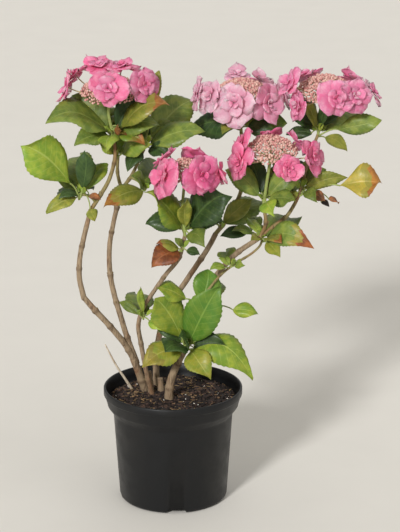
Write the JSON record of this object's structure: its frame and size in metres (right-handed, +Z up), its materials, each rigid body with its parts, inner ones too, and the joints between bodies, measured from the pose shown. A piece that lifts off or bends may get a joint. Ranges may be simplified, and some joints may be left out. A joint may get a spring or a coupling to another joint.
{
  "type": "potted hydrangea shrub",
  "caption": "Potted lacecap hydrangea with open bowed stems, broad leaves and flat pink flower heads, standing in a round black nursery pot.",
  "frame": {"origin": "centre of the pot's flat underside", "axes": "+Z up; -Y is the side the leaves and the lowest flower head face, +X the side of the three right-hand flower heads"},
  "size_m": [0.4675, 0.2548, 0.6111],
  "materials": {
    "pot": "satin",
    "compost": "matte",
    "stem_bark": "matte",
    "dry_wood": "matte",
    "green_stalk": "satin",
    "leaf_green": "satin",
    "leaf_young": "satin",
    "leaf_bronze": "satin",
    "petal_pink": "matte"
  },
  "bodies": {
    "root": {"pot": "pot", "compost": "compost", "stem_left_base": "stem_bark", "stem_outer_left_lower": "stem_bark", "stem_outer_left_upper": "stem_bark", "bough_head_1": "stem_bark", "stem_inner_left": "stem_bark", "bough_young_pair": "stem_bark", "bough_upper_middle": "stem_bark", "stem_front": "stem_bark", "stem_back": "stem_bark", "bough_head_2": "stem_bark", "stem_right": "stem_bark", "bough_head_5": "stem_bark", "bough_right": "stem_bark", "side_shoot": "stem_bark", "old_stump_left": "stem_bark", "old_stump_right": "stem_bark", "dry_stub": "dry_wood", "flower_stalk_1": "green_stalk", "flower_stalk_2": "green_stalk", "flower_stalk_3": "green_stalk", "flower_stalk_4": "green_stalk", "flower_stalk_5": "green_stalk", "leaves_left_tip": "leaf_green", "leaves_below_head_1": "leaf_green", "leaves_upper_middle": "leaf_green", "leaves_inner_fork": "leaf_green", "leaves_below_head_4": "leaf_green", "leaves_mid_back": "leaf_green", "leaves_below_head_2": "leaf_green", "leaves_below_head_5": "leaf_green", "leaves_right_tip": "leaf_green", "leaves_below_head_3": "leaf_green", "leaves_low_shoot": "leaf_green", "leaves_right_stem": "leaf_green", "leaves_front_stem": "leaf_green", "leaves_young_pair": "leaf_young", "leaves_side_shoot": "leaf_young", "leaf_brown_folded": "leaf_bronze", "leaves_bronze": "leaf_bronze", "flower_head_1": "petal_pink", "flower_head_2": "petal_pink", "flower_head_3": "petal_pink", "flower_head_4": "petal_pink", "flower_head_5": "petal_pink"}
  },
  "joints": []
}
